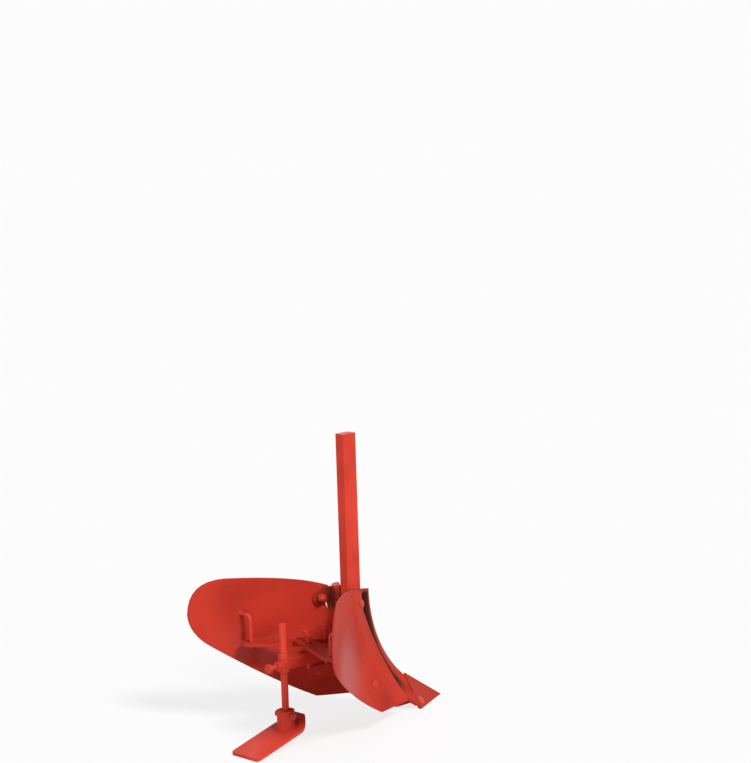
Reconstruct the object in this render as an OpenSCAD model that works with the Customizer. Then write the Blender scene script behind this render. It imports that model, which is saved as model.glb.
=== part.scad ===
// Ridger that trails behind a walking machine: an upright bar bent forward at its foot,
// a folded shin and a roof-shaped share in front, two hinged wings that throw the soil
// aside, flat braces that set their spread, and a skid foot on a sliding post.
// Millimetres, +X right, +Y forward, +Z up, ground at Z = 0.

/* [Shank] */
// Width of the bar across the machine
shank_w = 20; // [16:1:24]
// Depth of the bar fore and aft
shank_d = 30; // [26:1:34]
// Radius of the bar's long edges
shank_edge = 2; // [0.5:0.5:4]
// Height of the shank's top end
shank_top = 507; // [420:1:600]
// Radius of the bar's front face where it bends forward
bend_radius = 251; // [240:1:262]
// Turn of the bend from the vertical, in degrees
bend_turn = 60; // [56:1:63]
// Height of the bar's front face at its lower end
nose_height = 11.5; // [9:0.5:14]

/* [Shin] */
// Distance of the shin's ridge ahead of the bar
shin_stand = 29; // [24:1:34]
// Half of the angle between the shin's two flanks, in degrees
shin_half_angle = 40; // [34:1:44]
// Half width of the shin
shin_half = 34; // [28:1:35]
// Thickness of the shin plate
shin_t = 5; // [3:0.5:6]
// Thickness of the web that joins the shin to the bar
shin_web = 8; // [5:1:12]

/* [Share] */
// Length of the share from its rear edge to its tip
share_len = 92.5; // [76:0.5:110]
// Step of the share's rear edge ahead of the shin's front line
share_step = 5.5; // [4:0.5:8]
// Height of the share's ridge at its rear edge
share_h = 60; // [54:1:64]
// Half width of the share across its rear corners
share_half = 38; // [34:1:44]
// Setback of the inside of the share along its ridge
share_setback = 10; // [8:0.5:13]
// Drop of the inside of the share
share_drop = 4; // [3:0.5:5]
// Length of the seat block under the share
seat_len = 56; // [40:1:64]
// Height of the share bolts above the ground
share_bolt_z = 11; // [10:1:14]
// Distance of the share bolts ahead of the share's rear edge
share_bolt_y = 16; // [12:1:22]

/* [Wings] */
// Distance of a wing's outer face from the middle, at the wing's middle
wing_x = 100; // [94:1:108]
// Sweep of the wing from straight fore and aft, in degrees
wing_sweep = 30; // [27:1:33]
// Inward lean of the wing's top, in degrees
wing_lean = 6; // [4:1:8]
// Slope of the line that the wing is rolled about, in degrees
wing_roll = 46; // [40:1:52]
// Radius that the wing is rolled to
wing_r = 690; // [600:10:800]
// Thickness of the wing plate
wing_t = 3; // [2:0.5:4]
// Thickness of the cheek plate along the wing's front
cheek_t = 2; // [1.5:0.5:4]
// Width of the cheek plate fore and aft
cheek_w = 36; // [30:1:44]

/* [Wing hinges] */
// Distance of a hinge line from the bar's side
hinge_off = 10; // [9.5:0.5:12]
// Distance of the hinges behind the bar's front face
hinge_set = 27; // [24:1:28]
// Angle round the bend between the upper and the lower hinge, in degrees
hinge_arc = 31; // [28:1:33]
// Radius of a hinge pin, also of the clamp screw
pin_r = 4; // [3:0.25:4.5]
// Outer radius of a hinge eye
eye_r = 8; // [7:0.25:8.5]
// Height of a hinge eye
eye_h = 24; // [20:1:28]
// Thickness of a hinge ear on the bar
ear_t = 10; // [7:1:12]
// Thickness of a hinge strap
strap_t = 5; // [4:0.5:6]
// Length of a strap past its bolt or rivet
strap_end = 16; // [13:1:24]
// Drop of the upper strap's plate below its eye
plate_drop = 46; // [30:1:50]

/* [Braces] */
// Distance of a hook rod from the middle
rod_x = 97; // [92:1:100]
// Distance of a hook rod behind the shank
rod_back = 146; // [140:1:152]
// Height of a hook rod's arm
rod_z = 204; // [196:1:212]
// Radius of the hook rods and the drop pins
rod_r = 3; // [2.5:0.25:3.5]
// Inner radius of a hook rod's bend
rod_bend = 6; // [3:1:10]
// Width of a brace
brace_w = 30; // [24:1:34]
// Thickness of a brace
brace_t = 5; // [4:0.5:6]
// Length of the slot for the drop pin, to each side of the pin
slot_reach = 15; // [15:1:24]
// Distance of the right brace's drop pin behind the shank
right_hole_back = 105; // [102:1:110]
// Distance of the left brace's drop pin behind the shank
left_hole_back = 63; // [58:1:66]

/* [Tail arm and skid] */
// Width of the tail arm
arm_w = 16; // [15:1:17]
// Height of the tail arm's section
arm_h = 20; // [17:1:24]
// Height of the tail arm's top
arm_top = 150; // [147:1:153]
// Wall of the tail arm
arm_wall = 3; // [2:0.5:4]
// Distance of the skid post behind the shank
post_back = 162; // [156:1:172]
// Radius of the skid post
post_r = 6; // [5:0.25:6.5]
// Height of the post's top end
post_top = 208; // [200:1:240]
// Outer radius of the collar
collar_r = 8.5; // [8:0.5:10]
// Height of the collar
collar_h = 32; // [26:1:38]
// Length of the clamp screw from its tip to its head
screw_len = 25; // [23:1:40]
// Width of the foot
foot_w = 66; // [54:1:76]
// Thickness of the foot plate
foot_t = 5; // [4:0.5:6]
// Reach of the foot behind the shank
foot_back = 258; // [248:1:280]
// Length of the flat stretch of the foot, over the ground
foot_flat = 102; // [98:1:116]
// Upward pitch of the foot towards its front, in degrees
foot_pitch = 14; // [10:1:16]
// Radius of the foot's turned-up nose, on its underside
nose_r = 40; // [30:1:50]
// Turn of the foot's nose, in degrees
nose_turn = 51; // [35:1:65]
// Outer radius of the foot's socket
socket_r = 15; // [12:0.5:17]
// Height of the socket's top above the ground
socket_top = 60; // [56:1:66]

/* [Fasteners and fits] */
// Radius of the wing and share bolts
bolt_r = 4; // [3:0.25:4.5]
// Radius of a cup head or a countersunk head
head_r = 7.5; // [6.5:0.25:8]
// Radius of a nut or hex head over its corners
nut_r = 7.5; // [6.5:0.25:8]
// Height of a nut
nut_h = 6.5; // [5:0.5:8]
// Height of a bolt head
head_h = 4.5; // [3:0.5:5]
// Radius of the socket bolt
socket_bolt_r = 3; // [2:0.25:3.5]
// Radial clearance where a piece turns or slides on another
run_gap = 0.05; // [0.02:0.01:0.1]
// Gap between faces that slide past each other
slide_gap = 0.4; // [0.3:0.05:0.6]
// Gap left between pieces that are bolted or welded together
lap = 0.1; // [0.05:0.05:0.2]
// Radial clearance of a bolt in its hole
bolt_gap = 0.2; // [0.1:0.05:0.4]
// Room under the lower brace, for the tilt of the wing hinges
brace_room = 2.4; // [2.2:0.1:3]
// Room between the two braces
brace_step = 3.2; // [3:0.1:4]
// Room beside a drop pin in its slot
slot_room = 1.6; // [1.5:0.1:2.5]

/* [Hidden] */
$fn = 64;
red = [0.72, 0.13, 0.10];
// Lowest point of the bar's nose and the seat block
nose_clear = 6;
// Turn that the shin stops short of the bar's lower end
nose_cut = 1;
// Facets round the large bends and the rolled plates
bend_fn = 360;
// Length of the rolling cylinder, past the wing at both ends
roll_len = 700;
// Overlap of a cut past the face that it opens
past = 1;
// Distance that cuts through the whole object reach
far = 600;

// Bend of the bar: its axis and the radius of the bar's rear face
bend_y = shank_d / 2 + bend_radius;
bend_height = nose_height + bend_radius * sin(bend_turn);
bar_rear_r = bend_radius + shank_d;
shin_r = bend_radius - shin_stand;
// Distances from the shank to the share's rear edge and to its tip
share_rear = bend_y - sqrt(pow(shin_r, 2) - pow(bend_height - share_h, 2)) + share_step;
share_reach = share_rear + share_len;
// Place of the shank between the share's tip and the foot's rear edge
shank_y = (foot_back - share_reach) / 2;

// Outline of a wing from the side: distance ahead of the shank, height
wing_front_foot = [83, 28];
wing_front_mid = [16, 128];
wing_front_neck = [-19, 208];
wing_front_top = [-17, 241];
wing_top_mid = [-70, 264];
wing_top_rear = [-165, 266];
wing_tail_corner = [-214, 264];
wing_tail = [-218, 207];
wing_tail_low = [-218, 172];
wing_tail_foot = [-185, 147];
wing_edge_mid = [-100, 80];
wing_corner = [-14, 36];
// Middle of a wing's outer face from the side
wing_mid = [-100, 150];
// Height of the cheek plate's lower end
cheek_foot = 34;
// Places of a wing's bolt and rivet from the side
upper_bolt = [-26, 222];
lower_rivet = [-20, 84];

// Direction and centre line of the rolling cylinder, and a wing's outward direction at its middle
wing_axis = [
    -cos(wing_roll) * sin(wing_lean) * cos(wing_sweep) - sin(wing_roll) * sin(wing_sweep),
    -cos(wing_roll) * sin(wing_lean) * sin(wing_sweep) + sin(wing_roll) * cos(wing_sweep),
    cos(wing_roll) * cos(wing_lean)
];
wing_out = [
    cos(wing_lean) * cos(wing_sweep),
    cos(wing_lean) * sin(wing_sweep),
    sin(wing_lean)
];
wing_centre = [wing_x, wing_mid[0], wing_mid[1]] + wing_r * wing_out;

// Depths of the wing's layers below its outer face
strap_out = wing_t + lap;
strap_in = strap_out + strap_t;
cheek_out = -lap - cheek_t;

// Hinge line: a chord of an arc round the bend, with the upper hinge where the bend starts
hinge_x = shank_w / 2 + hinge_off;
hinge_r = bend_radius + hinge_set;
hinge_y = bend_y - hinge_r;
hinge_rake = hinge_arc / 2;
hinge_span = 2 * hinge_r * sin(hinge_rake);
eye_places = [0, -hinge_span];
// Plate between a strap's eye and the wing: its turn to the rear and its length before it is cut
plate_turn = 20;
plate_len = 45;
// Start of a strap behind its hinge line
strap_start = 8;

// Share: corners, outward direction of its right flank and place of its right bolt
share_tip = [0, share_reach, 0];
share_ridge = [0, share_rear, share_h];
share_corner = [share_half, share_rear, 0];
flank = cross(share_ridge - share_tip, share_corner - share_tip);
flank_out = flank / norm(flank);
share_part = (share_len - share_bolt_y) / share_len;
share_bolt_x = share_half * share_part * (1 - share_bolt_z / (share_h * share_part));
share_bolt_len = 12;
// Depth that the bolt holes reach through the seat block
share_hole_len = 40;

// Levels of the braces and of what they lie on
left_brace_z = arm_top + brace_room;
right_brace_z = left_brace_z + brace_t + brace_step;
keeper_t = 2;
keeper_r = 8;
front_pin_top = 184;
rear_pin_top = 182;
pin_below = 12;
pin_bend = 5;
pin_hook = 4;
spacer_r = 8;

// Skid
collar_rise = 8;
collar_low = arm_top + collar_rise - collar_h;
screw_rise = 12;
screw_z = collar_low + screw_rise;
clamp_nut_h = 9;
clamp_nut_r = 8;
screw_tip = post_r + lap;
screw_head_h = 6;
post_foot = 34;
socket_bolt_drop = 9;
socket_bolt_z = socket_top - socket_bolt_drop;
foot_corner = 6;

// Point at a share t of the way along a curve from a to c that bends towards b
function bend_point(a, b, c, t) = (1 - t) * (1 - t) * a + 2 * t * (1 - t) * b + t * t * c;
function bend_line(a, b, c, steps = 8) = [for (i = [0 : steps]) bend_point(a, b, c, i / steps)];

// Part of a vector square to the rolling axis
function off_axis(v) = v - (v * wing_axis) * wing_axis;
// Place on a wing layer, from its side view and its depth below the outer face
function wing_place(p, depth = 0) =
    let (
        across = off_axis([1, 0, 0]),
        start = off_axis([0, p[0], p[1]] - wing_centre),
        a = across * across,
        b = across * start,
        c = start * start - pow(wing_r + depth, 2)
    )
    [(-b - sqrt(b * b - a * c)) / a, p[0], p[1]];
// Outward direction of a wing at a place on it
function wing_normal(place) = let (v = off_axis(wing_centre - place)) v / norm(v);

// Place of a point on the hinge line, t along it from the upper hinge
function hinge_place(t) = [
    hinge_y - t * sin(hinge_rake),
    bend_height + t * cos(hinge_rake)
];

module right() {
    children();
}

module left() {
    mirror([1, 0, 0]) children();
}

// Moves the shank to its place, so that the origin lies under the middle of the object
module stand() {
    translate([0, shank_y, 0]) children();
}

// Extrudes a side view, drawn as distance ahead and height, from one X to another
module side_plate(from, to) {
    translate([from, 0, 0]) rotate(120, [1, 1, 1]) linear_extrude(to - from) children();
}

// Turns a section, drawn as radius and X, about the bend's axis from the vertical downwards
module bend_sweep(from, to) {
    translate([0, bend_y, bend_height])
        rotate(120, [1, 1, 1])
            rotate([0, 0, 180 + from])
                rotate_extrude(angle = to - from, $fn = bend_fn) children();
}

// Points local +Z along a direction
module aim(direction) {
    rotate([0, acos(direction[2] / norm(direction)), atan2(direction[1], direction[0])]) children();
}

module rounded_rect(w, d, r) {
    square([w - 2 * r, d], center = true);
    square([w, d - 2 * r], center = true);
    for (x = [-1, 1], y = [-1, 1])
        translate([x * (w / 2 - r), y * (d / 2 - r)]) circle(r);
}

// The bar where it bends, grown by a gap for the cuts of what is welded to it
module bent_bar(gap = 0) {
    bend_sweep(0, bend_turn)
        translate([bend_radius + shank_d / 2, 0])
            rounded_rect(shank_d + 2 * gap, shank_w + 2 * gap, shank_edge);
}

module shank() {
    color(red)
        difference() {
            union() {
                translate([0, 0, bend_height])
                    linear_extrude(shank_top - bend_height)
                        rounded_rect(shank_w, shank_d, shank_edge);
                bent_bar();
            }
            translate([-far, -far, nose_clear - far]) cube([2 * far, 2 * far, far]);
        }
}

module shin_section() {
    tan_half = tan(shin_half_angle);
    flank_end = shin_r + shin_half / tan_half;
    inner_end = flank_end + shin_t * sin(shin_half_angle);
    inner_half = shin_half - shin_t * cos(shin_half_angle);
    web_start = shin_r + shin_t / sin(shin_half_angle) + shin_web / 2 / tan_half;
    polygon([
        [shin_r, 0],
        [flank_end, shin_half],
        [inner_end, inner_half],
        [web_start, shin_web / 2],
        [bend_radius - lap, shin_web / 2],
        [bend_radius - lap, -shin_web / 2],
        [web_start, -shin_web / 2],
        [inner_end, -inner_half],
        [flank_end, -shin_half]
    ]);
}

module shin() {
    color(red)
        difference() {
            bend_sweep(0, bend_turn - nose_cut) shin_section();
            translate([-far, share_rear - lap, -far]) cube(2 * far);
            translate([-far, -far, nose_clear - far]) cube([2 * far, 2 * far, far]);
        }
}

// The share's outer form, a low roof that runs out to a point
module share_form() {
    polyhedron(
        points = [share_tip, share_ridge, share_corner, [-share_half, share_rear, 0]],
        faces = [[0, 2, 1], [0, 1, 3], [0, 3, 2], [1, 2, 3]]
    );
}

// The space under the share's roof
module share_inside(gap = 0) {
    translate([0, -share_setback - gap, -share_drop - gap]) share_form();
}

// Places a child on each flank of the share, at its bolt
module at_share_bolts() {
    for (side = [0, 1])
        mirror([side, 0, 0])
            translate([share_bolt_x, share_rear + share_bolt_y, share_bolt_z])
                aim(flank_out) children();
}

module countersunk(r, rim) {
    translate([0, 0, -share_bolt_len]) cylinder(r = r, h = share_bolt_len);
    translate([0, 0, r - rim]) cylinder(r1 = r, r2 = rim, h = rim - r);
}

module share() {
    color(red)
        difference() {
            share_form();
            share_inside();
            at_share_bolts() {
                countersunk(bolt_r + bolt_gap, head_r + bolt_gap);
                translate([0, 0, -lap]) cylinder(r = head_r + bolt_gap, h = past);
            }
        }
}

module share_seat() {
    color(red)
        difference() {
            intersection() {
                share_inside(lap);
                translate([-share_half, share_rear, nose_clear])
                    cube([2 * share_half, seat_len, share_h]);
            }
            bent_bar(lap);
            at_share_bolts() translate([0, 0, -share_hole_len])
                cylinder(r = bolt_r + run_gap, h = share_hole_len);
        }
}

module share_bolts() {
    color(red) at_share_bolts() translate([0, 0, -lap]) countersunk(bolt_r, head_r);
}

// Local frame of the right hinge line, +Z up along it from the upper hinge
module on_hinge() {
    translate([hinge_x, hinge_y, bend_height]) rotate([hinge_rake, 0, 0]) children();
}

module at_eyes() {
    on_hinge() for (t = eye_places) translate([0, 0, t]) children();
}

module hinge_ears() {
    reach = hinge_x - shank_w / 2 - lap;
    color(red)
        at_eyes() translate([0, 0, -eye_h / 2 - slide_gap - ear_t])
            linear_extrude(ear_t)
                difference() {
                    union() {
                        translate([-reach, -eye_r]) square([reach, 2 * eye_r]);
                        circle(eye_r);
                    }
                    circle(pin_r + run_gap);
                }
}

module hinge_pins() {
    below = eye_h / 2 + slide_gap + ear_t + lap + nut_h;
    color(red)
        at_eyes() {
            translate([0, 0, -below]) cylinder(r = pin_r, h = below + eye_h / 2 + slide_gap);
            translate([0, 0, eye_h / 2 + slide_gap]) cylinder(r = nut_r, h = head_h, $fn = 6);
        }
}

module hinge_nuts() {
    color(red)
        at_eyes() translate([0, 0, -eye_h / 2 - slide_gap - ear_t - lap - nut_h])
            difference() {
                cylinder(r = nut_r, h = nut_h, $fn = 6);
                translate([0, 0, -past]) cylinder(r = pin_r + run_gap, h = nut_h + 2 * past);
            }
}

// Everything of the rolling cylinder down to a depth below the wing's outer face
module roll(depth) {
    translate(wing_centre)
        rotate([-wing_roll, -wing_lean, wing_sweep])
            cylinder(r = wing_r + depth, h = roll_len, center = true, $fn = bend_fn);
}

// A layer of rolled plate between two depths, cut to a side view
module wing_layer(out, inn) {
    difference() {
        intersection() {
            roll(inn);
            side_plate(0, far / 2) children();
        }
        roll(out);
    }
}

// Places a child on the right wing's outer face, +Z outwards
module on_wing(p) {
    place = wing_place(p);
    translate(place) aim(wing_normal(place)) children();
}

module bolt_holes(places) {
    for (p = places)
        on_wing(p) cylinder(r = bolt_r + bolt_gap, h = 2 * (strap_in + cheek_t), center = true);
}

module wing_outline() {
    polygon(concat(
        bend_line(wing_front_foot, wing_front_mid, wing_front_neck),
        bend_line(wing_front_top, wing_top_mid, wing_top_rear),
        bend_line(wing_top_rear, wing_tail_corner, wing_tail),
        bend_line(wing_tail, wing_tail_low, wing_tail_foot),
        bend_line(wing_tail_foot, wing_edge_mid, wing_corner)
    ));
}

module wing() {
    color(red)
        difference() {
            wing_layer(0, wing_t) wing_outline();
            bolt_holes([upper_bolt, lower_rivet]);
        }
}

// The cheek follows the wing's front edge up to the wing's top
module cheek_outline() {
    front = bend_line(wing_front_foot, wing_front_mid, wing_front_neck);
    back = [for (i = [len(front) - 1 : -1 : 0]) front[i] - [cheek_w, 0]];
    intersection() {
        wing_outline();
        polygon(concat(
            [for (p = front) p + [cheek_w, 0]],
            [[wing_front_top[0] + cheek_w, far], [wing_front_top[0] - cheek_w, far]],
            back
        ));
        translate([-far / 2, cheek_foot]) square(far);
    }
}

module cheek() {
    color(red)
        difference() {
            wing_layer(cheek_out, -lap) cheek_outline();
            bolt_holes([upper_bolt]);
        }
}

// A strap inside the wing, with a plate that joins it to an eye round the hinge pin
module strap(t, fastener, drop) {
    eye = hinge_place(t);
    run = eye - fastener;
    round_end = norm(run) + strap_end - eye_h / 2;
    color(red)
        difference() {
            union() {
                intersection() {
                    roll(strap_in);
                    side_plate(0, far / 2)
                        translate(eye) rotate(180 + atan2(run[1], run[0])) {
                            translate([strap_start, -eye_h / 2])
                                square([round_end - strap_start, eye_h]);
                            translate([round_end, 0]) circle(eye_h / 2);
                        }
                }
                on_hinge() translate([0, 0, t]) {
                    cylinder(r = eye_r, h = eye_h, center = true);
                    translate([0, 0, -eye_h / 2 - drop])
                        linear_extrude(eye_h + drop)
                            rotate(-plate_turn)
                                translate([eye_r - past, -strap_t / 2]) square([plate_len, strap_t]);
                }
            }
            roll(strap_out);
            on_hinge() translate([0, 0, t]) {
                cylinder(r = pin_r + run_gap, h = 2 * eye_h, center = true);
                translate([0, 0, eye_h / 2]) cylinder(r = nut_r + slide_gap, h = eye_h);
                translate([0, 0, -eye_h / 2 - far]) cylinder(r = eye_r + slide_gap, h = far);
            }
            bolt_holes([fastener]);
        }
}

module upper_strap() {
    strap(eye_places[0], upper_bolt, plate_drop);
}

module lower_strap() {
    strap(eye_places[1], lower_rivet, 0);
}

module cup_head() {
    ball = (head_r * head_r + head_h * head_h) / (2 * head_h);
    intersection() {
        translate([0, 0, head_h - ball]) sphere(ball);
        cylinder(r = head_r + past, h = head_h);
    }
}

// A cup-headed pin in the wing: its head at a height above the outer face, its end at a depth
module cup_pin(p, above, depth) {
    color(red)
        on_wing(p) {
            translate([0, 0, -depth]) cylinder(r = bolt_r, h = depth + above);
            translate([0, 0, above]) cup_head();
        }
}

module wing_bolt() {
    cup_pin(upper_bolt, lap - cheek_out, strap_in + lap + nut_h);
}

module strap_rivet() {
    cup_pin(lower_rivet, lap, strap_in);
}

module wing_nut() {
    color(red)
        on_wing(upper_bolt) translate([0, 0, -strap_in - lap - nut_h])
            difference() {
                cylinder(r = nut_r, h = nut_h, $fn = 6);
                translate([0, 0, -past]) cylinder(r = bolt_r + run_gap, h = nut_h + 2 * past);
            }
}

// A round rod that rises from the origin to a height and then bends over towards +X
module bent_rod(r, rise, bend, arm) {
    turn = bend + r;
    cylinder(r = r, h = rise - turn);
    translate([turn, 0, rise - turn])
        rotate([90, 0, 0])
            rotate([0, 0, 90])
                rotate_extrude(angle = 90) translate([turn, 0]) circle(r);
    translate([turn, 0, rise]) rotate([0, 90, 0]) cylinder(r = r, h = arm - turn);
}

// The hook rod's arm is welded to the wing, and its leg carries the brace
module hook_rod(brace_z) {
    low = brace_z - slide_gap - keeper_t - rod_r;
    color(red)
        difference() {
            translate([rod_x, -rod_back, low])
                bent_rod(rod_r, rod_z - low, rod_bend, wing_x);
            roll(strap_out);
        }
}

module keeper(brace_z) {
    color(red)
        translate([rod_x, -rod_back, brace_z - slide_gap - keeper_t])
            difference() {
                cylinder(r = keeper_r, h = keeper_t);
                translate([0, 0, -past]) cylinder(r = rod_r + run_gap, h = keeper_t + 2 * past);
            }
}

// A flat brace from the hook rod to a slot round its drop pin
module brace(hole_back, brace_z) {
    run = [-rod_x, rod_back - hole_back];
    length = norm(run);
    inner = length + slot_reach + rod_r;
    color(red)
        translate([rod_x, -rod_back, brace_z])
            rotate([0, 0, atan2(run[1], run[0])])
                linear_extrude(brace_t)
                    difference() {
                        union() {
                            circle(brace_w / 2);
                            translate([0, -brace_w / 2]) square([inner, brace_w]);
                            translate([inner, 0]) circle(brace_w / 2);
                        }
                        circle(rod_r + run_gap);
                        for (end = [-1, 1])
                            translate([length + end * slot_reach, 0]) circle(rod_r + slot_room);
                        translate([length - slot_reach, -rod_r - slot_room])
                            square([2 * slot_reach, 2 * (rod_r + slot_room)]);
                    }
}

module tail_arm() {
    color(red)
        difference() {
            translate([-arm_w / 2, -post_back, arm_top - arm_h])
                cube([arm_w, post_back + shank_d, arm_h]);
            translate([-arm_w / 2 + arm_wall, -post_back, arm_top - arm_h + arm_wall])
                cube([arm_w - 2 * arm_wall, post_back + shank_d, arm_h - 2 * arm_wall]);
            translate([0, bend_y, bend_height])
                rotate([0, 90, 0])
                    cylinder(r = bar_rear_r + lap, h = arm_w + 2 * past, center = true, $fn = bend_fn);
            translate([0, -post_back, arm_top - arm_h - past])
                cylinder(r = collar_r + lap, h = arm_h + 2 * past);
            for (back = [left_hole_back, right_hole_back])
                translate([0, -back, arm_top - arm_h - past])
                    cylinder(r = rod_r + run_gap, h = arm_h + 2 * past);
        }
}

module pin_spacer() {
    color(red)
        translate([0, -right_hole_back, arm_top])
            difference() {
                cylinder(r = spacer_r, h = right_brace_z - brace_room - arm_top);
                translate([0, 0, -past]) cylinder(r = rod_r + run_gap, h = right_brace_z);
            }
}

module drop_pin(back, top) {
    low = arm_top - arm_h - pin_below;
    color(red)
        translate([0, -back, low])
            rotate([0, 0, 180]) bent_rod(rod_r, top - low, pin_bend, pin_bend + rod_r + pin_hook);
}

module front_drop_pin() {
    drop_pin(left_hole_back, front_pin_top);
}

module rear_drop_pin() {
    drop_pin(right_hole_back, rear_pin_top);
}

module collar() {
    color(red)
        translate([0, -post_back, 0])
            difference() {
                translate([0, 0, collar_low]) cylinder(r = collar_r, h = collar_h);
                translate([0, 0, collar_low - past]) cylinder(r = post_r + run_gap, h = collar_h + 2 * past);
                translate([0, 0, screw_z]) rotate([90, 0, 0])
                    cylinder(r = pin_r + run_gap, h = collar_r + past);
            }
}

module clamp_nut() {
    color(red)
        translate([0, -post_back, screw_z])
            difference() {
                rotate([90, 0, 0]) cylinder(r = clamp_nut_r, h = collar_r + clamp_nut_h, $fn = 6);
                rotate([90, 0, 0]) translate([0, 0, -past])
                    cylinder(r = pin_r + run_gap, h = collar_r + clamp_nut_h + 2 * past);
                translate([0, 0, -collar_h]) cylinder(r = collar_r + lap, h = 2 * collar_h);
            }
}

module clamp_screw() {
    color(red)
        translate([0, -post_back, screw_z]) rotate([90, 0, 0]) translate([0, 0, screw_tip]) {
            cylinder(r = pin_r, h = screw_len);
            translate([0, 0, screw_len]) cylinder(r = clamp_nut_r, h = screw_head_h, $fn = 6);
        }
}

module socket_bolt_hole(r) {
    translate([0, -post_back, socket_bolt_z])
        rotate([0, 90, 0]) cylinder(r = r, h = 4 * socket_r, center = true);
}

module skid_post() {
    color(red)
        difference() {
            translate([0, -post_back, post_foot]) cylinder(r = post_r, h = post_top - post_foot);
            socket_bolt_hole(socket_bolt_r + run_gap);
        }
}

// Frame of the foot's straight plate: X across, Y forward along it, Z up off its underside
module on_foot() {
    translate([0, -foot_back, 0]) rotate([foot_pitch, 0, 0]) children();
}

// The foot's bent plate, grown upwards by a gap and downwards by a depth for the socket's cut
module foot_strip(gap = 0, depth = 0) {
    flat = foot_flat / cos(foot_pitch);
    strip_w = foot_w + 2 * foot_t;
    on_foot() {
        translate([-strip_w / 2, -foot_t, -depth])
            cube([strip_w, flat + foot_t, foot_t + gap + depth]);
        translate([0, flat, nose_r])
            rotate(120, [1, 1, 1])
                rotate([0, 0, -90])
                    rotate_extrude(angle = nose_turn)
                        translate([nose_r - foot_t - gap, -strip_w / 2])
                            square([foot_t + gap + depth, strip_w]);
    }
}

// Plan of the foot: round at the nose, with eased corners behind
module foot_plan() {
    nose = foot_w / 2;
    front = foot_flat + nose_r * (sin(foot_pitch + nose_turn) - sin(foot_pitch)) - nose;
    translate([0, -foot_back]) {
        translate([-nose, foot_corner]) square([foot_w, front - foot_corner]);
        translate([foot_corner - nose, 0]) square([foot_w - 2 * foot_corner, foot_corner]);
        for (side = [-1, 1])
            translate([side * (nose - foot_corner), foot_corner]) circle(foot_corner);
        translate([0, front]) circle(nose);
    }
}

module foot() {
    color(red)
        intersection() {
            foot_strip();
            translate([0, 0, -past]) linear_extrude(far) foot_plan();
        }
}

module foot_socket() {
    color(red)
        difference() {
            translate([0, -post_back, 0]) cylinder(r = socket_r, h = socket_top);
            translate([0, -post_back, -past]) cylinder(r = post_r + run_gap, h = socket_top + 2 * past);
            foot_strip(lap, socket_top);
            socket_bolt_hole(socket_bolt_r + run_gap);
        }
}

module socket_bolt() {
    color(red)
        translate([0, -post_back, socket_bolt_z]) rotate([0, 90, 0]) {
            translate([0, 0, -socket_r - nut_h])
                cylinder(r = socket_bolt_r, h = 2 * socket_r + nut_h + lap);
            translate([0, 0, socket_r + lap]) cylinder(r = 2 * socket_bolt_r, h = head_h, $fn = 6);
        }
}

module socket_nut() {
    color(red)
        translate([0, -post_back, socket_bolt_z]) rotate([0, -90, 0])
            translate([0, 0, socket_r + lap])
                difference() {
                    cylinder(r = 2 * socket_bolt_r, h = nut_h - 2 * lap, $fn = 6);
                    translate([0, 0, -past]) cylinder(r = socket_bolt_r + run_gap, h = nut_h + 2 * past);
                }
}

stand() shank();
stand() shin();
stand() share();
stand() share_seat();
stand() share_bolts();
stand() left() hinge_ears();  // left_hinge_ears
stand() right() hinge_ears();  // right_hinge_ears
stand() left() hinge_pins();  // left_hinge_pins
stand() right() hinge_pins();  // right_hinge_pins
stand() left() hinge_nuts();  // left_hinge_nuts
stand() right() hinge_nuts();  // right_hinge_nuts
stand() left() wing();  // left_wing
stand() right() wing();  // right_wing
stand() left() cheek();  // left_cheek
stand() right() cheek();  // right_cheek
stand() left() upper_strap();  // left_upper_strap
stand() right() upper_strap();  // right_upper_strap
stand() left() lower_strap();  // left_lower_strap
stand() right() lower_strap();  // right_lower_strap
stand() left() wing_bolt();  // left_wing_bolt
stand() right() wing_bolt();  // right_wing_bolt
stand() left() wing_nut();  // left_wing_nut
stand() right() wing_nut();  // right_wing_nut
stand() left() strap_rivet();  // left_strap_rivet
stand() right() strap_rivet();  // right_strap_rivet
stand() left() hook_rod(left_brace_z);  // left_hook_rod
stand() right() hook_rod(right_brace_z);  // right_hook_rod
stand() left() keeper(left_brace_z);  // left_keeper
stand() right() keeper(right_brace_z);  // right_keeper
stand() left() brace(left_hole_back, left_brace_z);  // left_brace
stand() right() brace(right_hole_back, right_brace_z);  // right_brace
stand() tail_arm();
stand() pin_spacer();
stand() front_drop_pin();
stand() rear_drop_pin();
stand() collar();
stand() clamp_nut();
stand() clamp_screw();
stand() skid_post();
stand() foot();
stand() foot_socket();
stand() socket_bolt();
stand() socket_nut();
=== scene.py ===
"""Looks of a walk-behind ridger.

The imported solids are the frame. This script paints them, lays weld beads where the pieces are
joined, puts threaded ends on the bolts and screws, dresses the seams along the cheeks, and sets the
floor, the light and the camera. All lengths are in metres unless a name ends in _mm.
"""

import logging
import math
from dataclasses import dataclass, field
from enum import Enum
from typing import Any, Iterable, Optional, Sequence

import bmesh
import bpy
from mathutils import Matrix, Vector


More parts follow.
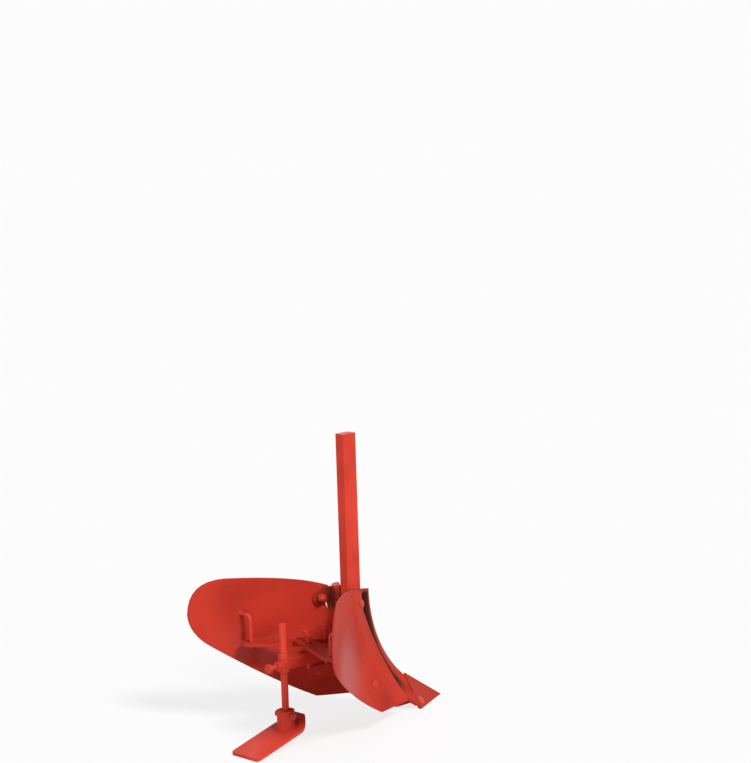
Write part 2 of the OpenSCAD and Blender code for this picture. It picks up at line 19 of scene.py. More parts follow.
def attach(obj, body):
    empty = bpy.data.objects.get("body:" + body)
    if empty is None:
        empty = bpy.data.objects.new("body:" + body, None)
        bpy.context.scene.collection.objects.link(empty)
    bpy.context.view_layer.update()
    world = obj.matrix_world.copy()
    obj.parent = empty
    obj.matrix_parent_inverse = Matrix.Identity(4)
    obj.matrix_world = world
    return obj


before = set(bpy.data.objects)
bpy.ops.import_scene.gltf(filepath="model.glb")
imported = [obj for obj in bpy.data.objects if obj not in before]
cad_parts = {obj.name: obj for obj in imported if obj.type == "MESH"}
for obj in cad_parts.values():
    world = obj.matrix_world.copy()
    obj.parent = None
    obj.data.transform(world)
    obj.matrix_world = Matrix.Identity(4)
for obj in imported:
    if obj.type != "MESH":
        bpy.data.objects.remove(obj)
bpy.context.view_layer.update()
MM = 0.001
SHANK_Y = 0.019052
FULL_TURN = 360.0
UP = Vector((0.0, 0.0, 1.0))
WHITE = (1.0, 1.0, 1.0, 1.0)
LOG = logging.getLogger("ridger")

Colour = tuple[float, float, float]
Place = tuple[float, float, float]
Span = tuple[float, float]
Loop = list[Vector]
Seam = tuple[Loop, bool]


class Side(Enum):
    """The two sides of the tool, with the sign of X on each."""

    RIGHT = 1
    LEFT = -1

    @property
    def word(self) -> str:
        """The side's name as the frame's nodes use it."""
        return self.name.lower()

    def place(self, point: Sequence[float]) -> Vector:
        """A point of the right side, moved to this side."""
        return Vector((self.value * point[0], point[1], point[2]))


class Part(Enum):
    """What a finish is for, which sets how much it is handled and scraped, and how light or deep its red is,
    as painted light and shade.
    """

    PLATE = "plate"
    BAR = "bar"
    HARDWARE = "hardware"
    WELD = "weld"
    EDGE_TOOL = "edge_tool"
    SHIN = "shin"
    STRAP = "strap"


Materials = dict[Part, bpy.types.Material]


class Value:
    """A shader value that takes part in arithmetic."""

    def __init__(self, nodes: "Nodes", socket: bpy.types.NodeSocket) -> None:
        """Keeps the node tree and the output socket that the value comes from."""
        self.nodes = nodes
        self.socket = socket

    def __add__(self, other: Any) -> "Value":
        """Sum of two values."""
        return self.nodes.maths("ADD", self, other)

    def __sub__(self, other: Any) -> "Value":
        """Difference of two values."""
        return self.nodes.maths("SUBTRACT", self, other)

    def __rsub__(self, other: Any) -> "Value":
        """Difference of a number and this value."""
        return self.nodes.maths("SUBTRACT", other, self)

    def __mul__(self, other: Any) -> "Value":
        """Product of two values."""
        return self.nodes.maths("MULTIPLY", self, other)

    __radd__ = __add__
    __rmul__ = __mul__

    def line(self, slope: float, start: float) -> "Value":
        """The value times a slope, plus a start."""
        return self * slope + start

    def absolute(self) -> "Value":
        """Size of the value, without its sign."""
        return self.nodes.maths("ABSOLUTE", self)

    def ramp(self, low: float, high: float) -> "Value":
        """A smooth step.

        Args:
            low: Value up to which the step is 0.
            high: Value from which the step is 1.

        Returns:
            The step.
        """
        sockets = {"Value": self, "From Min": low, "From Max": high}
        node = self.nodes.node("ShaderNodeMapRange", sockets, interpolation_type="SMOOTHSTEP")
        return Value(self.nodes, node.outputs[0])


class Nodes:
    """A node tree of any kind, with short calls that add nodes."""

    def __init__(self, tree: bpy.types.NodeTree) -> None:
        """Keeps the tree that the nodes go into."""
        self.tree = tree

    def node(self, kind: str, sockets: Optional[dict[Any, Any]] = None, **settings: Any) -> bpy.types.Node:
        """Adds a node.

        Args:
            kind: The node's type.
            sockets: What goes into its inputs, by the input's name or number.
            settings: The node's own settings, which are set first.

        Returns:
            The node.
        """
        made = self.tree.nodes.new(kind)
        for name, setting in settings.items():
            setattr(made, name, setting)
        for key, item in (sockets or {}).items():
            self.feed(made.inputs[key], item)
        return made

    def feed(self, socket: bpy.types.NodeSocket, item: Any) -> None:
        """Fills an input.

        Args:
            socket: The input.
            item: A value or a socket to join to it, or its own number, colour or vector.
        """
        if isinstance(item, Value):
            item = item.socket
        if isinstance(item, bpy.types.NodeSocket):
            self.tree.links.new(item, socket)
        else:
            socket.default_value = item

    def maths(self, operation: str, *items: Any) -> Value:
        """A Math node.

        Args:
            operation: What the node works out.
            items: Values or numbers, in the order of its inputs.

        Returns:
            The result.
        """
        node = self.node("ShaderNodeMath", dict(enumerate(items)), operation=operation)
        return Value(self, node.outputs[0])

    def eye_rays(self) -> Value:
        """A mask of the rays that the camera sees, straight, mirrored or through glass.

        Returns:
            1 on those rays and 0 on the others.
        """
        path = self.node("ShaderNodeLightPath")
        seen = Value(self, path.outputs["Is Camera Ray"])
        for ray in ("Is Glossy Ray", "Is Transmission Ray"):
            seen = self.maths("MAXIMUM", seen, path.outputs[ray])
        return seen


@dataclass(frozen=True)
class Pattern:
    """A noise pattern: waves per metre, octaves of finer noise, and factors on the axes for streaks."""

    scale: float
    detail: float = 4.0
    stretch: Optional[Place] = None


class Graph(Nodes):
    """A material's node tree, with the numbers of a Mix node's colour sockets."""

    COLOUR_A = 6
    COLOUR_B = 7
    COLOUR_RESULT = 2
    EDGE_SAMPLES = 4
    EDGE_SPAN: Span = (0.02, 0.25)

    def __init__(self, name: str) -> None:
        """Makes an empty material.

        Args:
            name: Name of the material.
        """
        self.material = bpy.data.materials.new(name)
        self.material.use_nodes = True
        super().__init__(self.material.node_tree)
        self.tree.nodes.clear()
        self.place = self.node("ShaderNodeTexCoord").outputs["Object"]

    def noise(self, pattern: Pattern) -> Value:
        """Noise over the object's own coordinates.

        Args:
            pattern: The noise's scale, detail and stretch.

        Returns:
            The noise, about 0 to 1.
        """
        place = self.place
        if pattern.stretch is not None:
            mapping = self.node("ShaderNodeMapping", {"Vector": place, "Scale": pattern.stretch})
            place = mapping.outputs[0]
        sockets = {"Vector": place, "Scale": pattern.scale, "Detail": pattern.detail}
        return Value(self, self.node("ShaderNodeTexNoise", sockets).outputs[0])

    def along(self, axis: str) -> Value:
        """A point's place along the X, Y or Z axis."""
        split = self.node("ShaderNodeSeparateXYZ", {0: self.place})
        return Value(self, split.outputs[axis])

    def around(self, centre: Place, near: float, far: float) -> Value:
        """A mask round a place and its mirror images in the three main planes.

        Args:
            centre: The place, with positive coordinates.
            near: Distance up to which the mask is 1.
            far: Distance from which the mask is 0.

        Returns:
            The mask.
        """
        folded = self.node("ShaderNodeVectorMath", {0: self.place}, operation="ABSOLUTE")
        ends = {0: folded.outputs[0], 1: centre}
        distance = self.node("ShaderNodeVectorMath", ends, operation="DISTANCE")
        return 1.0 - Value(self, distance.outputs["Value"]).ramp(near, far)

    def edges(self, radius: float) -> tuple[Value, bpy.types.NodeSocket]:
        """How much a point lies on an outer edge, and the normal that rounds the edge.

        Args:
            radius: Width of the rounded edge.

        Returns:
            A mask, 1 on sharp edges, and the rounded normal.
        """
        rounded = self.node("ShaderNodeBevel", {"Radius": radius}, samples=self.EDGE_SAMPLES).outputs[0]
        flat = self.node("ShaderNodeNewGeometry").outputs["Normal"]
        dot = self.node("ShaderNodeVectorMath", {0: rounded, 1: flat}, operation="DOT_PRODUCT")
        mask = (1.0 - Value(self, dot.outputs["Value"])).ramp(*self.EDGE_SPAN)
        return mask, rounded

    def mix(self, factor: Value, first: Any, second: Any) -> bpy.types.NodeSocket:
        """A mix of two colours.

        Args:
            factor: Share of the second colour.
            first: A colour, or a socket that gives one.
            second: A colour, or a socket that gives one.

        Returns:
            The mixed colour.
        """
        pair = [(*item, 1.0) if isinstance(item, tuple) else item for item in (first, second)]
        sockets = {"Factor": factor, self.COLOUR_A: pair[0], self.COLOUR_B: pair[1]}
        return self.node("ShaderNodeMix", sockets, data_type="RGBA").outputs[self.COLOUR_RESULT]

    def finish(self, shader: bpy.types.Node) -> bpy.types.Material:
        """Joins a shader to the material's output, and gives the material."""
        self.node("ShaderNodeOutputMaterial", {"Surface": shader.outputs[0]})
        return self.material


@dataclass(frozen=True)
class Texture:
    """The patterns that all the red paints share, and how strongly each one shows.

    A span is where a smooth step starts and ends. A line is a slope and a start.
    """

    cloud: Pattern = Pattern(9.0)
    blotch: Pattern = Pattern(55.0, 6.0)
    grain: Pattern = Pattern(900.0, 2.0)
    streak: Pattern = Pattern(60.0, 5.0, (1.0, 0.25, 2.0))
    polish: Pattern = Pattern(8.0, 2.0, (1.0, 1.0, 0.45))
    cloud_span: Span = (0.30, 0.66)
    dust_span: Span = (0.58, 0.80)
    polish_span: Span = (0.42, 0.70)
    chip_span: Span = (0.62, 0.70)
    chip_pull: float = 0.2
    chip_depth: float = 0.8
    scrape_span: Span = (0.72, 0.80)
    scrape_pull: float = 0.1
    scrape_share: float = 0.5
    # Share of the painted highlight along the outer edges.
    sun_share: float = 0.7
    dust_share: float = 0.35
    dull_blotch: float = 0.22
    dull_cloud: float = 0.06
    dull_bare: float = 0.15
    # Extra roughness under the painted shade.
    dull_shade: float = 0.3
    dull_start: float = -0.10
    ripple_grain: float = 0.35
    ripple_blotch: float = 0.65
    ripple_height: float = 0.4 * MM
    coat_line: Span = (0.9, 0.1)
    coat_rough: float = 0.18
    # How the painted highlight's strength varies with noise over its patch.
    highlight_line: Span = (0.5, 0.75)


@dataclass(frozen=True)
class Soil:
    """Painted shade on a painted piece: a dark band on the shin's flanks beside the wings, and darkening
    round the upper hinges.
    """

    # Strengths of the painted shade on the shin's flanks and round the hinges.
    film: float = 0.0
    hinge_shade: float = 0.0
    # Dark brown of the painted shade.
    colour: Colour = (0.042, 0.019, 0.012)
    # The painted shade starts off the shin's ridge and fades out towards the share.
    flank_span: Span = (8 * MM, 19 * MM)
    foot_span: Span = (22 * MM, 66 * MM)
    ragged: float = 12 * MM
    noise_mean: float = 0.5
    film_grain: float = 0.3
    film_streak: float = 0.3
    film_start: float = 0.7
    # Middle of the painted shade round the upper hinges, mirrored to both sides.
    hinge: Place = (0.030, 0.005, 0.222)
    hinge_span: Span = (12 * MM, 36 * MM)
    hinge_shade_line: Span = (0.8, 0.5)

    def mask(self, g: Graph, blotch: Value, grain: Value, streak: Value) -> Value:
        """Where the painted shade is.

        Args:
            g: The paint's graph.
            blotch: Noise that makes the painted shade's edge ragged.
            grain: Fine noise in the painted shade on the flanks.
            streak: Drawn-out noise in the painted shade on the flanks.

        Returns:
            The mask.
        """
        ragged = (blotch - self.noise_mean) * self.ragged
        # Painted shade on the shin's flanks, away from its ridge and fading out towards the share.
        shade_mask = (g.along("X").absolute() + ragged).ramp(*self.flank_span)
        shade_mask = shade_mask * (g.along("Z") + ragged).ramp(*self.foot_span)
        mottled = grain * self.film_grain + streak * self.film_streak + self.film_start
        # Painted shade round the upper hinges.
        hinge_shade_mask = g.around(self.hinge, *self.hinge_span) * blotch.line(*self.hinge_shade_line)
        return shade_mask * mottled * self.film + hinge_shade_mask * self.hinge_shade


@dataclass(frozen=True)
class Paint:
    """A gloss red paint, with the wear of the part that it is on, and any painted light and shade given to
    it.
    """

    part: Part
    red: Colour = (0.58, 0.047, 0.027)
    deep: Colour = (0.44, 0.031, 0.019)
    # Lighter red laid on the outer edges as a painted highlight.
    sun: Colour = (0.70, 0.11, 0.07)
    dust: Colour = (0.36, 0.065, 0.040)
    steel: Colour = (0.42, 0.40, 0.39)
    # Settings of the painted shade; none unless set.
    soil: Soil = Soil()
    gloss: float = 0.52
    peel: float = 0.08
    edge: float = 1.2 * MM
    chips: float = 0.30
    scrapes: float = 0.10
    coat: float = 0.12
    shine: float = 0.06
    # A patch of thicker clear coat on each wing's outer face, placed to give a painted highlight: its
    # strength, middle and reach.
    highlight_strength: float = 0.0
    rubbed: Place = (0.118, 0.106, 0.130)
    rubbed_span: Span = (15 * MM, 85 * MM)
    texture: Texture = Texture()

    def material(self) -> bpy.types.Material:
        """The paint as a material.

        Returns:
            A material with cloudy colour, a painted highlight on the edges, dull patches, chipped edges, a
            rippled coat, and the painted shade and painted highlight patch that it is given, if any.
        """
        look = self.texture
        g = Graph(f"red_paint_{self.part.value}")
        cloud = g.noise(look.cloud).ramp(*look.cloud_span)
        blotch = g.noise(look.blotch)
        grain = g.noise(look.grain)
        streak = g.noise(look.streak)
        edge, rounded = g.edges(self.edge)
        bare = self._bare(edge, blotch, streak)
        shade_mask = self.soil.mask(g, blotch, grain, streak)
        colour = g.mix(cloud, self.deep, self.red)
        # Painted highlight: a lighter red along the outer edges.
        colour = g.mix(edge * look.sun_share, colour, self.sun)
        colour = g.mix(blotch.ramp(*look.dust_span) * look.dust_share, colour, self.dust)
        colour = g.mix(bare, colour, self.steel)
        # Painted shade: dark brown on the shin's flanks and round the upper hinges.
        colour = g.mix(shade_mask, colour, self.soil.colour)
        rough = blotch * look.dull_blotch + cloud * look.dull_cloud + bare * look.dull_bare
        # Rougher under the painted shade.
        rough = rough + shade_mask * look.dull_shade + (self.gloss + look.dull_start)
        height = grain * look.ripple_grain + blotch * look.ripple_blotch - bare * look.chip_depth
        ripple = {"Strength": self.peel, "Distance": look.ripple_height, "Height": height, "Normal": rounded}
        bump = g.node("ShaderNodeBump", ripple)
        shader = g.node(
            "ShaderNodeBsdfPrincipled",
            {
                "Base Color": colour,
                "Roughness": rough,
                "Metallic": bare,
                "Normal": bump.outputs[0],
                "Coat Weight": self._coat(g, blotch, shade_mask),
                "Coat Roughness": look.coat_rough,
                "Specular IOR Level": self.shine,
            },
        )
        return g.finish(shader)

    def _bare(self, edge: Value, blotch: Value, streak: Value) -> Value:
        """Where the paint has come off.

        Args:
            edge: Mask of the outer edges.
            blotch: Noise that picks the chips.
            streak: Drawn-out noise that picks the scrapes.

        Returns:
            A mask of the bare steel.
        """
        look = self.texture
        chip_low, chip_high = look.chip_span
        scrape_low, scrape_high = look.scrape_span
        chipped = edge * blotch.ramp(chip_low - look.chip_pull * self.chips, chip_high)
        scraped = streak.ramp(scrape_low - look.scrape_pull * self.scrapes, scrape_high) * self.scrapes
        return chipped * self.chips + scraped * look.scrape_share

    def _coat(self, g: Graph, blotch: Value, shade_mask: Value) -> Value:
        """The clear coat, which is dull in places, thinner under the painted shade, and thicker in a patch
        on each wing that gives a painted highlight.

        Args:
            g: The paint's graph.
            blotch: Noise in the painted highlight's patch.
            shade_mask: Mask of the painted shade, which hides the coat.

        Returns:
            The coat's weight.
        """
        look = self.texture
        polish = g.noise(look.polish).ramp(*look.polish_span)
        # Painted highlight: extra clear coat in a patch on each wing's outer face.
        rubbed = g.around(self.rubbed, *self.rubbed_span) * blotch.line(*look.highlight_line) * self.highlight_strength
        return (1.0 - shade_mask) * polish.line(*look.coat_line) * self.coat + rubbed


def linked(name: str, data: bpy.types.ID) -> bpy.types.Object:
    """Makes an object and puts it in the scene.

    Args:
        name: Name of the object.
        data: Its mesh, light or camera.

    Returns:
        The object.
    """
    made = bpy.data.objects.new(name, data)
    bpy.context.collection.objects.link(made)
    return made


@dataclass(frozen=True)
class Floor:
    """The plain pale floor, which keeps the shadow."""

    colour: Colour = (0.85, 0.85, 0.85)
    shade: float = 0.985
    cloud: Pattern = Pattern(3.0)
    cloud_span: Span = (0.2, 0.8)
    white: float = 0.78
    half: float = 30.0
    drop: float = 0.5 * MM

    def paper(self) -> bpy.types.Material:
        """The floor's material.

        Returns:
            A faintly cloudy grey, nearly white to the eye.
        """
        g = Graph("floor_paper")
        cloud = g.noise(self.cloud).ramp(*self.cloud_span)
        colour = g.mix(cloud, self.colour, tuple(self.shade * c for c in self.colour))
        plain = g.node("ShaderNodeBsdfDiffuse", {"Color": colour})
        glow = g.node("ShaderNodeEmission", {"Color": WHITE})
        shares = {0: g.eye_rays() * self.white, 1: plain.outputs[0], 2: glow.outputs[0]}
        return g.finish(g.node("ShaderNodeMixShader", shares))

    def build(self) -> bpy.types.Object:
        """A wide plane just under the object.

        Returns:
            The floor.
        """
        corners = [(-1, -1), (1, -1), (1, 1), (-1, 1)]
        points = [(x * self.half, y * self.half, -self.drop) for x, y in corners]
        mesh = bpy.data.meshes.new("floor")
        mesh.from_pydata(points, [], [(0, 1, 2, 3)])
        mesh.materials.append(self.paper())
        floor = linked("floor", mesh)
        return floor


class Tree(Nodes):
    """A geometry node tree that is built, applied once and left as a plain mesh."""

    def __init__(self, name: str) -> None:
        """Starts a tree with a geometry input and output.

        Args:
            name: Name of the tree.
        """
        super().__init__(bpy.data.node_groups.new(name, "GeometryNodeTree"))
        for way in ("INPUT", "OUTPUT"):
            self.tree.interface.new_socket("Geometry", in_out=way, socket_type="NodeSocketGeometry")
        self.source = self.node("NodeGroupInput")
        self.sink = self.node("NodeGroupOutput")
        self.values: dict[str, Any] = {}

    def size(self, name: str, value: Any, kind: str = "NodeSocketFloat") -> bpy.types.NodeSocket:
        """A named input of the tree.

        Args:
            name: The input's name.
            value: What the input is set to.
            kind: The input's socket type.

        Returns:
            The input's socket inside the tree.
        """
        socket = self.tree.interface.new_socket(name, in_out="INPUT", socket_type=kind)
        self.values[socket.identifier] = value
        return next(s for s in self.source.outputs if s.identifier == socket.identifier)

    def end(self, geometry: bpy.types.NodeSocket, material: bpy.types.Material) -> None:
        """Realizes the instances, sets the material and joins the output.

        Args:
            geometry: What the tree has made.
            material: Finish of the piece.
        """
        paint = self.size("Material", material, "NodeSocketMaterial")
        real = self.node("GeometryNodeRealizeInstances", {"Geometry": geometry})
        smooth = self.node("GeometryNodeSetShadeSmooth", {"Geometry": real.outputs[0]})
        dressed = self.node("GeometryNodeSetMaterial", {"Geometry": smooth.outputs[0], "Material": paint})
        self.feed(self.sink.inputs[0], dressed.outputs[0])

    def apply(self, mesh: bpy.types.Mesh, name: str) -> bpy.types.Object:
        """Runs the tree on a mesh.

        Args:
            mesh: The mesh that the tree starts from.
            name: Name of the piece.

        Returns:
            The result as a plain mesh object.
        """
        seed = linked(f"{name}.seed", mesh)
        modifier = seed.modifiers.new("tree", "NODES")
        modifier.node_group = self.tree
        for identifier, value in self.values.items():
            modifier[identifier] = value
        graph = bpy.context.evaluated_depsgraph_get()
        result = bpy.data.meshes.new_from_object(seed.evaluated_get(graph))
        result.name = name
        bpy.data.objects.remove(seed)
        return linked(name, result)


@dataclass
class WeldBead:
    """Weld beads of one body: overlapping ripples along the seams."""

    body: str
    seams: list[Seam]
    width: float = 4.0 * MM
    pitch: float = 1.4 * MM
    overlap: float = 2.1
    least: float = 0.86
    most: float = 1.06
    seed: int = 7
    segments: int = 8
    rings: int = 6

    def build(self, material: bpy.types.Material) -> bpy.types.Object:
        """Lays the ripples along the seams.

        Args:
            material: Paint of the beads.

        Returns:
            The beads as one piece, riding on the body.
        """
        points: list[Vector] = []
        edges: list[tuple[int, int]] = []
        for loop, closed in self.seams:
            first = len(points)
            points.extend(loop)
            edges.extend((first + i, first + i + 1) for i in range(len(loop) - 1))
            if closed:
                edges.append((first + len(loop) - 1, first))
        mesh = bpy.data.meshes.new(f"{self.body}_seams")
        mesh.from_pydata(points, edges, [])
        tree = Tree("weld_ripples")
        pitch = tree.size("Pitch", self.pitch)
        width = tree.size("Width", self.width)
        seed = tree.size("Seed", self.seed, "NodeSocketInt")
        curve = tree.node("GeometryNodeMeshToCurve", {"Mesh": tree.source.outputs[0]})
        spacing = {"Curve": curve.outputs[0], "Length": pitch}
        spaced = tree.node("GeometryNodeResampleCurve", spacing, mode="LENGTH")
        tangent = tree.node("GeometryNodeInputTangent")
        turn = tree.node("FunctionNodeAlignRotationToVector", {"Vector": tangent.outputs[0]}, axis="Z")
        unit_ball = {"Segments": self.segments, "Rings": self.rings, "Radius": 0.5}
        ball = tree.node("GeometryNodeMeshUVSphere", unit_ball)
        limits = {"Min": self.least, "Max": self.most, "Seed": seed}
        jitter = tree.node("FunctionNodeRandomValue", limits, data_type="FLOAT")
        across = tree.maths("MULTIPLY", width, jitter.outputs["Value"])
        along = tree.maths("MULTIPLY", pitch, self.overlap)
        scale = tree.node("ShaderNodeCombineXYZ", {"X": across, "Y": across, "Z": along})
        ripples = tree.node(
            "GeometryNodeInstanceOnPoints",
            {
                "Points": spaced.outputs[0],
                "Instance": ball.outputs[0],
                "Rotation": turn.outputs[0],
                "Scale": scale.outputs[0],
            },
        )
        tree.end(ripples.outputs[0], material)
        piece = tree.apply(mesh, f"{self.body}_weld_beads")
        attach(piece, self.body)
        return piece


@dataclass
class ThreadedEnds:
    """Threaded ends of one body's bolts: a core with a helical ridge, one at each place."""

    body: str
    name: str
    places: list[tuple[Vector, Vector]]
    radius: float = 4.0 * MM
    length: float = 3.0 * MM
    pitch: float = 1.25 * MM
    ridge: float = 0.32 * MM
    inset: float = 1.0 * MM
    facets: int = 24
    ridge_facets: int = 6

    def build(self, material: bpy.types.Material) -> bpy.types.Object:
        """Puts a threaded end at each place.

        Args:
            material: Finish of the threads.

        Returns:
            The ends as one piece, riding on the body.
        """
        mesh = bpy.data.meshes.new(f"{self.name}_places")
        mesh.from_pydata([place for place, _ in self.places], [], [])
        axis = mesh.attributes.new("axis", "FLOAT_VECTOR", "POINT")
        for item, (_, direction) in zip(axis.data, self.places):
            item.vector = direction.normalized()
        tree = Tree("thread_ends")
        radius = tree.size("Radius", self.radius)
        length = tree.size("Length", self.length)
        ridge = tree.size("Ridge", self.ridge)
        rise = self.length - self.inset
        helix = tree.node(
            "GeometryNodeCurveSpiral",
            {
                "Resolution": self.facets,
                "Rotations": rise / self.pitch,
                "Start Radius": radius,
                "End Radius": radius,
                "Height": rise,
            },
        )
        circle = {"Resolution": self.ridge_facets, "Radius": ridge}
        profile = tree.node("GeometryNodeCurvePrimitiveCircle", circle)
        wire = tree.node(
            "GeometryNodeCurveToMesh",
            {"Curve": helix.outputs[0], "Profile Curve": profile.outputs[0], "Fill Caps": True},
        )
        rod = {"Vertices": self.facets, "Radius": radius, "Depth": length}
        core = tree.node("GeometryNodeMeshCylinder", rod, fill_type="NGON")
        lift = tree.node("ShaderNodeCombineXYZ", {"Z": tree.maths("MULTIPLY", length, 0.5)})
        shift = {"Geometry": core.outputs[0], "Translation": lift.outputs[0]}
        raised = tree.node("GeometryNodeTransform", shift)
        joined = tree.node("GeometryNodeJoinGeometry")
        for form in (wire, raised):
            tree.feed(joined.inputs[0], form.outputs[0])
        named = tree.node("GeometryNodeInputNamedAttribute", {"Name": "axis"}, data_type="FLOAT_VECTOR")
        turn = tree.node("FunctionNodeAlignRotationToVector", {"Vector": named.outputs[0]}, axis="Z")
        ends = tree.node(
            "GeometryNodeInstanceOnPoints",
            {
                "Points": tree.source.outputs[0],
                "Instance": joined.outputs[0],
                "Rotation": turn.outputs[0],
            },
        )
        tree.end(ends.outputs[0], material)
        piece = tree.apply(mesh, self.name)
        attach(piece, self.body)
        return piece


def ring(
    centre: Vector,
    normal: Vector,
    radius: float,
    count: int = 24,
    start: float = 0.0,
    turn: float = FULL_TURN,
) -> Loop:
    """Points round a circle or an arc.

    Args:
        centre: Middle of the circle.
        normal: Direction that the circle is square to.
        radius: Radius of the circle.
        count: Number of points.
        start: First angle in degrees.
        turn: Angle covered in degrees; a whole turn leaves the last point out.

    Returns:
        The points in order.
    """
    spin = normal.normalized().to_track_quat("Z", "X").to_matrix()
    steps = count if turn == FULL_TURN else count - 1
    angles = [math.radians(start + turn * i / steps) for i in range(count)]
    return [centre + spin @ Vector((radius * math.cos(a), radius * math.sin(a), 0.0)) for a in angles]


@dataclass
class RolledWing:
    """The rolled plate of a wing, as the solids have it, for what sits on it."""

    out_mm: float = 100.0
    mid_mm: tuple[float, float] = (-100.0, 150.0)
    sweep: float = 30.0
    lean: float = 6.0
    slope: float = 46.0
    radius_mm: float = 690.0
    inner_mm: float = 8.1
    nut_mm: float = 6.6
    bolts_mm: tuple[tuple[float, float], ...] = ((-26.0, 222.0),)

    def __post_init__(self) -> None:
        """Works out the rolling axis and its middle."""
        turn = Matrix.Rotation(math.radians(self.sweep), 3, "Z")
        turn = turn @ Matrix.Rotation(math.radians(-self.lean), 3, "Y")
        turn = turn @ Matrix.Rotation(math.radians(-self.slope), 3, "X")
        self.axis = turn @ UP
        out = turn @ Vector((1.0, 0.0, 0.0))
        self.middle = Vector((self.out_mm, *self.mid_mm)) + self.radius_mm * out

    def _square(self, v: Vector) -> Vector:
        """The part of a vector that is square to the rolling axis."""
        return v - v.dot(self.axis) * self.axis

    def place(self, side_view: Sequence[float], depth: float = 0.0) -> Vector:
        """A place on the right wing's outer face.

        Args:
            side_view: Distance ahead of the shank and height, in mm.
            depth: Depth below the outer face, in mm.

        Returns:
            The place in mm, with the shank at Y = 0.
        """
        across = self._square(Vector((1.0, 0.0, 0.0)))
        start = self._square(Vector((0.0, *side_view)) - self.middle)
        a, b = across.dot(across), across.dot(start)
        c = start.dot(start) - (self.radius_mm + depth) ** 2
        return Vector(((-b - math.sqrt(b * b - a * c)) / a, *side_view))

    def outward(self, place: Vector) -> Vector:
        """Outward direction of the right wing at a place on it."""
        return self._square(self.middle - place).normalized()

    def bolt_ends(self, side: Side) -> list[tuple[Vector, Vector]]:
        """Where the wing bolts come out of their nuts.

        Args:
            side: The wing's side.

        Returns:
            Places in metres with their directions, on that side.
        """
        ends = []
        for side_view in self.bolts_mm:
            place = self.place(side_view)
            inward = -self.outward(place)
            tip = MM * (place + inward * (self.inner_mm + self.nut_mm))
            tip.y += SHANK_Y
            ends.append((side.place(tip), side.place(inward)))
        return ends


@dataclass
class CheekFillet:
    """The dressed seam along a cheek's rear edge, which eases its step down to the wing.

    Places are side views in mm: distance ahead of the shank and height.
    """

    side: Side
    body: str
    surface: RolledWing
    foot_mm: tuple[float, float] = (47.0, 28.0)
    bend_mm: tuple[float, float] = (-20.0, 128.0)
    neck_mm: tuple[float, float] = (-55.0, 208.0)
    head_mm: tuple[float, float] = (-54.8, 252.4)
    low_mm: float = 34.4
    bend_steps: int = 8
    stations: int = 48
    step_mm: float = 2.1
    reach_mm: float = 6.5
    sunk_mm: float = 0.3
    hollow: float = 1.6
    section_steps: int = 6
    sharp: float = math.radians(40)

    def edge(self, height: float) -> float:
        """Place of the cheek's rear edge.

        Args:
            height: Height in mm.

        Returns:
            Distance ahead of the shank in mm.
        """
        foot, bend, neck = (Vector(p) for p in (self.foot_mm, self.bend_mm, self.neck_mm))
        shares = [i / self.bend_steps for i in range(self.bend_steps + 1)]
        line = [(1 - t) ** 2 * foot + 2 * t * (1 - t) * bend + t ** 2 * neck for t in shares]
        line.append(Vector(self.head_mm))
        for below, above in zip(line, line[1:]):
            if height <= above.y:
                return below.x + (above.x - below.x) * (height - below.y) / (above.y - below.y)
        return line[-1].x

    def profile(self) -> list[tuple[float, float]]:
        """The seam's section, from the cheek's edge down to the wing.

        Returns:
            Distances ahead of the edge and depths below the wing's face, in mm.
        """
        shares = [i / self.section_steps for i in range(self.section_steps + 1)]
        face = [(-self.reach_mm * u, -self.step_mm * (1 - u) ** self.hollow) for u in shares]
        return [(self.sunk_mm, self.sunk_mm), *face, (-self.reach_mm - self.sunk_mm, self.sunk_mm)]

    def build(self, material: bpy.types.Material) -> bpy.types.Object:
        """Sweeps the section along the edge.

        Args:
            material: Paint of the wing.

        Returns:
            The seam as one piece, riding on the body.
        """
        profile = self.profile()
        shape = bmesh.new()
        rows = []
        for i in range(self.stations + 1):
            height = self.low_mm + (self.head_mm[1] - self.low_mm) * i / self.stations
            row = []
            for ahead, depth in profile:
                point = MM * self.surface.place((self.edge(height) + ahead, height), depth)
                point.y += SHANK_Y
                row.append(shape.verts.new(self.side.place(point)))
            rows.append(row)
        for low, high in zip(rows, rows[1:]):
            for j in range(len(profile)):
                k = (j + 1) % len(profile)
                shape.faces.new((low[j], low[k], high[k], high[j]))
        shape.faces.new(rows[0])
        shape.faces.new(rows[-1])
        bmesh.ops.recalc_face_normals(shape, faces=shape.faces)
        for face in shape.faces:
            face.smooth = True
        mesh = bpy.data.meshes.new(f"{self.side.word}_cheek_fillet")
        shape.to_mesh(mesh)
        shape.free()
        mesh.set_sharp_from_angle(angle=self.sharp)
        mesh.materials.append(material)
        piece = linked(mesh.name, mesh)
        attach(piece, self.body)
        return piece


